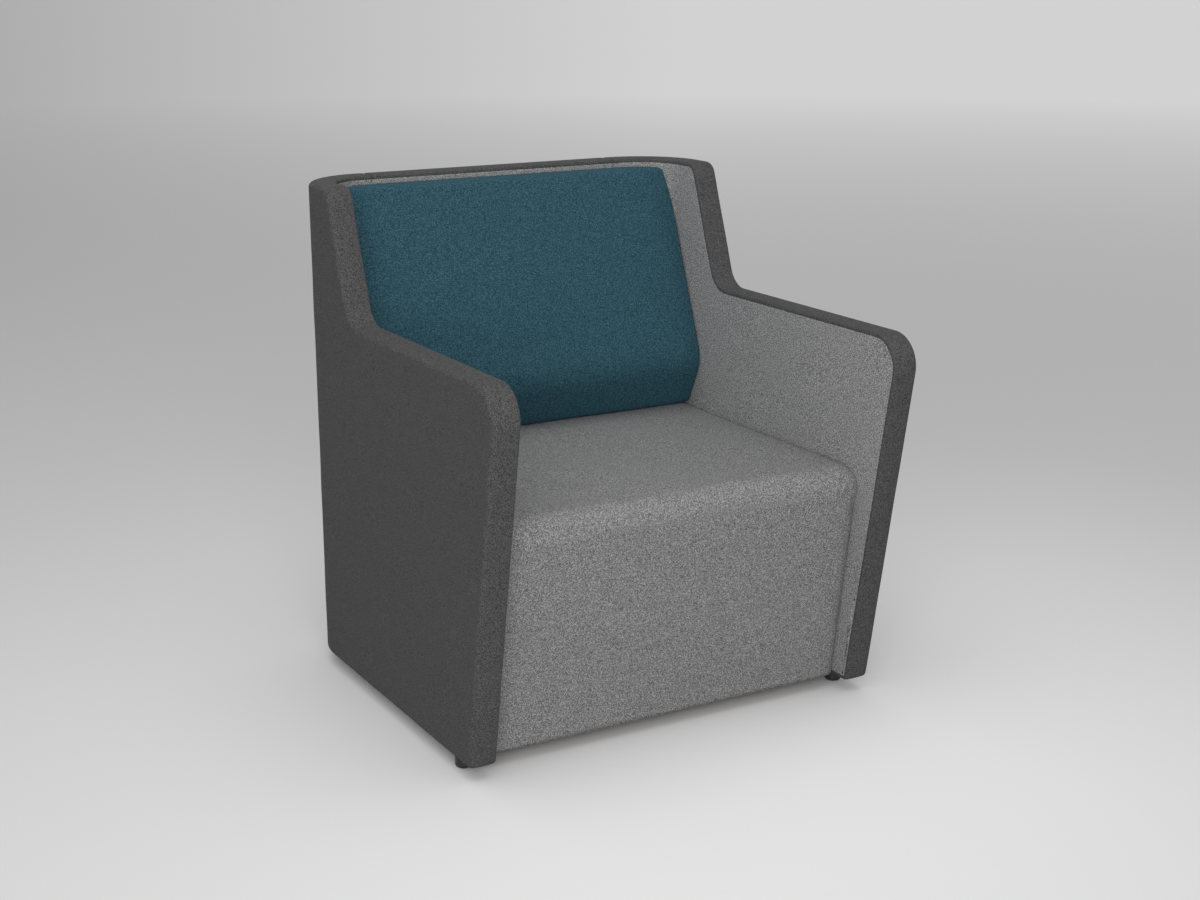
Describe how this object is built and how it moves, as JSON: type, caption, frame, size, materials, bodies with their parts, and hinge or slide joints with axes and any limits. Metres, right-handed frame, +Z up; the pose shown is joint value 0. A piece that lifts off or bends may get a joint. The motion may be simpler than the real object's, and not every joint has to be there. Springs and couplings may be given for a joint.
{
  "type": "lounge chair",
  "caption": "Upholstered tub lounge chair with a wrap-around shell, low wings, fixed seat, shaped back pad and levelling glides.",
  "frame": {"origin": "on the floor, under the middle of the chair's outline", "axes": "+X to the viewer's right when facing the chair, +Y to the rear, +Z up"},
  "size_m": [0.75, 0.7659, 0.844],
  "materials": {
    "dark_fabric": "matte",
    "grey_fabric": "matte",
    "teal_fabric": "matte",
    "foam": "matte",
    "plywood": "matte",
    "beech": "matte",
    "webbing": "matte",
    "black_cloth": "matte",
    "zinc_plated_steel": "satin",
    "black_nylon": "matte"
  },
  "bodies": {
    "chair_body": {"back_cover": "dark_fabric", "back_foam": "foam", "back_lining": "grey_fabric", "back_pad_board": "plywood", "back_pad_bolts": "zinc_plated_steel", "back_pad_cover": "teal_fabric", "back_pad_foam": "foam", "back_pad_tee_nuts": "zinc_plated_steel", "back_panel": "plywood", "base_front_rail": "beech", "base_left_rail": "beech", "base_rear_rail": "beech", "base_right_rail": "beech", "front_board": "plywood", "front_board_screws": "zinc_plated_steel", "front_foam": "foam", "glide_inserts": "zinc_plated_steel", "left_corner_former": "plywood", "left_side_cover": "dark_fabric", "left_side_foam": "foam", "left_side_lining": "grey_fabric", "left_side_panel": "plywood", "panel_dowels": "beech", "right_corner_former": "plywood", "right_side_cover": "dark_fabric", "right_side_foam": "foam", "right_side_lining": "grey_fabric", "right_side_panel": "plywood", "seat_cover": "grey_fabric", "seat_foam": "foam", "seat_frame_bolts": "zinc_plated_steel", "seat_frame_corner_blocks": "beech", "seat_frame_tee_nuts": "zinc_plated_steel", "seat_front_rail": "beech", "seat_left_rail": "beech", "seat_rear_rail": "beech", "seat_right_rail": "beech", "seat_webbing": "webbing", "underside_cloth": "black_cloth"},
    "glide_pad_front_left": {"glide_pad_front_left": "black_nylon"},
    "glide_stud_front_left": {"glide_stud_front_left": "zinc_plated_steel"},
    "glide_pad_front_right": {"glide_pad_front_right": "black_nylon"},
    "glide_stud_front_right": {"glide_stud_front_right": "zinc_plated_steel"},
    "glide_pad_rear_left": {"glide_pad_rear_left": "black_nylon"},
    "glide_stud_rear_left": {"glide_stud_rear_left": "zinc_plated_steel"},
    "glide_pad_rear_right": {"glide_pad_rear_right": "black_nylon"},
    "glide_stud_rear_right": {"glide_stud_rear_right": "zinc_plated_steel"}
  },
  "joints": [
    {"name": "front_left_glide_height", "type": "slide", "parent": "chair_body", "child": "glide_pad_front_left", "axis": [0, 0, -1], "range_m": [0, 0.01]},
    {"name": "front_left_glide_turn", "type": "hinge", "parent": "glide_pad_front_left", "child": "glide_stud_front_left", "pos_m": [-0.3525, -0.21996, 0.03], "axis": [0, 0, -1], "range_deg": [0, 2880]},
    {"name": "front_right_glide_height", "type": "slide", "parent": "chair_body", "child": "glide_pad_front_right", "axis": [0, 0, -1], "range_m": [0, 0.01]},
    {"name": "front_right_glide_turn", "type": "hinge", "parent": "glide_pad_front_right", "child": "glide_stud_front_right", "pos_m": [0.3525, -0.21996, 0.03], "axis": [0, 0, -1], "range_deg": [0, 2880]},
    {"name": "rear_left_glide_height", "type": "slide", "parent": "chair_body", "child": "glide_pad_rear_left", "axis": [0, 0, -1], "range_m": [0, 0.01]},
    {"name": "rear_left_glide_turn", "type": "hinge", "parent": "glide_pad_rear_left", "child": "glide_stud_rear_left", "pos_m": [-0.225, 0.3605, 0.03], "axis": [0, 0, -1], "range_deg": [0, 2880]},
    {"name": "rear_right_glide_height", "type": "slide", "parent": "chair_body", "child": "glide_pad_rear_right", "axis": [0, 0, -1], "range_m": [0, 0.01]},
    {"name": "rear_right_glide_turn", "type": "hinge", "parent": "glide_pad_rear_right", "child": "glide_stud_rear_right", "pos_m": [0.225, 0.3605, 0.03], "axis": [0, 0, -1], "range_deg": [0, 2880]}
  ],
  "couplings": [
    {"joint": "front_left_glide_turn", "follows": "front_left_glide_height", "rad_per_m": 5026.5},
    {"joint": "front_right_glide_turn", "follows": "front_right_glide_height", "rad_per_m": 5026.5},
    {"joint": "rear_left_glide_turn", "follows": "rear_left_glide_height", "rad_per_m": 5026.5},
    {"joint": "rear_right_glide_turn", "follows": "rear_right_glide_height", "rad_per_m": 5026.5}
  ]
}
